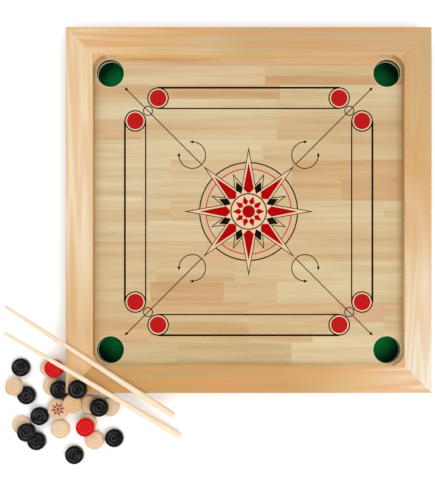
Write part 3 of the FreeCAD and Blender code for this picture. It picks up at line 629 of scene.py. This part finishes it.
# Each man's colour, its second colour, the painted shade in its grooves and the painted highlight on the lips
# beside them.
BLACK = (srgb(6, 5, 5), srgb(13, 11, 11), srgb(2, 2, 2), srgb(70, 67, 66))
RED = (seen(222, 12, 16), seen(228, 24, 26), seen(196, 8, 14), seen(236, 48, 48))
NATURAL_PALE = (seen(248, 220, 186), seen(240, 206, 168), seen(238, 206, 168), seen(251, 225, 193))
NATURAL_PINKISH = (seen(246, 214, 178), seen(238, 200, 162), seen(236, 200, 160), seen(249, 219, 185))
NATURAL_WARM = (seen(244, 202, 152), seen(236, 188, 136), seen(234, 188, 136), seen(246, 207, 160))
WARM_MAN = "natural_man_04"

for node in NODES:
    kind = node.rpartition("_")[0]
    if kind not in ("black_man", "red_man", "natural_man"):
        continue
    seed = int(node[-2:])
    if kind == "black_man":
        dress(node, lacquered_man_material(node, seed, BLACK, roughness=0.17, specular=0.18))
    elif kind == "red_man":
        dress(node, lacquered_man_material(node, seed, RED, roughness=0.28, specular=0.12))
    else:
        tones = NATURAL_WARM if node == WARM_MAN else NATURAL_PINKISH if seed % 2 else NATURAL_PALE
        dress(node, natural_man_material(node, seed, tones))

# ---------------------------------------------------------------- striker and cues

# The rosette on the striker: its petals, its red heart and the ring through the petals, in metres.
PETAL_WAVES = 4.0
PETAL_TURN = 0.2
PETALS_FROM = 0.0030
HEART_RADIUS = 0.0022
RING_RADIUS = 0.0062
RING_HALF_WIDTH = 0.0004
PRINT_DEPTH = 0.0006


def striker_material():
    """Polished pale wood with a printed rosette of eight petals round a red heart."""
    graph = Graph("striker")
    dx, dy, radius = from_centre(graph, "striker")
    x, y, z = graph.split(graph.place)
    turn = graph.add(graph.math("ARCTAN2", dy, dx), PETAL_TURN)
    wave = graph.math("ABSOLUTE", graph.math("SINE", graph.times(turn, PETAL_WAVES)))
    narrowing = graph.add(0.10, graph.times(radius, 95.0))
    petals = graph.times(graph.math("GREATER_THAN", wave, narrowing),
                         graph.math("GREATER_THAN", radius, PETALS_FROM))
    heart = graph.math("LESS_THAN", radius, HEART_RADIUS)
    ring = graph.math("LESS_THAN", graph.math("ABSOLUTE", graph.less(radius, RING_RADIUS)), RING_HALF_WIDTH)
    rosette = graph.math("MAXIMUM", graph.math("MAXIMUM", petals, heart), ring)
    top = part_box("striker")[1][2]
    rosette = graph.times(rosette, graph.math("GREATER_THAN", z, top - PRINT_DEPTH))
    cloud = graph.noise(graph.place, 60.0, detail=4.0)
    base = graph.mix(graph.ramp(cloud, (0.3, 0.0), (0.7, 1.0)), seen(238, 206, 168), seen(230, 192, 150))
    base = graph.mix(rosette, base, seen(150, 56, 48))
    graph.bump(cloud, 0.04, 0.0003)
    return graph.finish(base, graph.ramp(cloud, (0.2, 0.30), (0.8, 0.42)), coat=0.1, coat_roughness=0.15,
                        specular=0.4)


dress("striker", striker_material())

for node, seed in (("cue_1", 51), ("cue_2", 53)):
    low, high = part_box(node)
    slant = math.atan2(low[1] - high[1], high[0] - low[0])
    dress(node, plain_wood_material(
        node, "X", seed, seen(262, 241, 214), seen(252, 226, 192), rough_low=0.42, rough_high=0.6,
        turned=slant, across=120.0))

# ---------------------------------------------------------------- floor

FLOOR_SIZE = 40.0
FLOOR_DROP = 0.0003

bpy.ops.mesh.primitive_plane_add(size=FLOOR_SIZE, location=(0, 0, -FLOOR_DROP))
floor = bpy.context.object
floor.name = "floor"
floor_graph = Graph("floor")
floor_tone = floor_graph.noise(floor_graph.place, 3.0)
floor.data.materials.append(floor_graph.finish(
    floor_graph.mix(floor_tone, srgb(252, 252, 252), srgb(254, 254, 254)), 0.9, specular=0.1))

# ---------------------------------------------------------------- light


def area_light(name, location, size, power, colour):
    """A square soft light that looks at the middle of the board."""
    data = bpy.data.lights.new(name, "AREA")
    data.shape = "SQUARE"
    data.size = size
    data.energy = power
    data.color = colour
    light = bpy.data.objects.new(name, data)
    light.location = location
    light.rotation_euler = (-Vector(location)).to_track_quat("-Z", "Y").to_euler()
    bpy.context.collection.objects.link(light)


area_light("key_light", (0.85, -1.15, 1.8), 1.5, 29, (1.0, 0.985, 0.96))
area_light("fill_light", (-1.0, 1.0, 1.9), 1.8, 13, (0.97, 0.985, 1.0))

# The room is brightest at middle heights, like softboxes round a dark ceiling and a dim horizon.
ROOM_STOPS = ((0.0, 0.62), (0.35, 0.82), (0.6, 1.0), (0.85, 1.0), (0.94, 0.3), (1.0, 0.22))
ROOM_STRENGTH = 0.95
world = bpy.data.worlds.new("studio")
world.use_nodes = True
room = world.node_tree
direction = room.nodes.new("ShaderNodeTexCoord")
parts = room.nodes.new("ShaderNodeSeparateXYZ")
room.links.new(direction.outputs["Generated"], parts.inputs[0])
height_ramp = room.nodes.new("ShaderNodeValToRGB")
elements = height_ramp.color_ramp.elements
while len(elements) < len(ROOM_STOPS):
    elements.new(0.5)
for element, (position, value) in zip(elements, ROOM_STOPS):
    element.position = position
    element.color = (value, value, value, 1.0)
room.links.new(parts.outputs[2], height_ramp.inputs["Fac"])
room.links.new(height_ramp.outputs["Color"], room.nodes["Background"].inputs["Color"])
room.nodes["Background"].inputs["Strength"].default_value = ROOM_STRENGTH
bpy.context.scene.world = world
bpy.context.scene.view_settings.view_transform = "Standard"
bpy.context.scene.view_settings.look = "None"

# ---------------------------------------------------------------- camera

# The camera looks straight down from nearer the front rail; the shift brings the whole set into the frame.
VIEW_CENTRE = (-0.04464, -0.04881)
CAMERA_PLACE = (0.0, -0.150, 0.930)
VIEW_HEIGHT = 0.70937
SENSOR = 36.0
camera_data = bpy.data.cameras.new("camera")
camera_data.sensor_fit = "VERTICAL"
camera_data.sensor_height = SENSOR
camera_data.lens = SENSOR * CAMERA_PLACE[2] / VIEW_HEIGHT
camera_data.shift_x = (VIEW_CENTRE[0] - CAMERA_PLACE[0]) / VIEW_HEIGHT
camera_data.shift_y = (VIEW_CENTRE[1] - CAMERA_PLACE[1]) / VIEW_HEIGHT
camera = bpy.data.objects.new("camera", camera_data)
camera.location = CAMERA_PLACE
bpy.context.collection.objects.link(camera)
bpy.context.scene.camera = camera
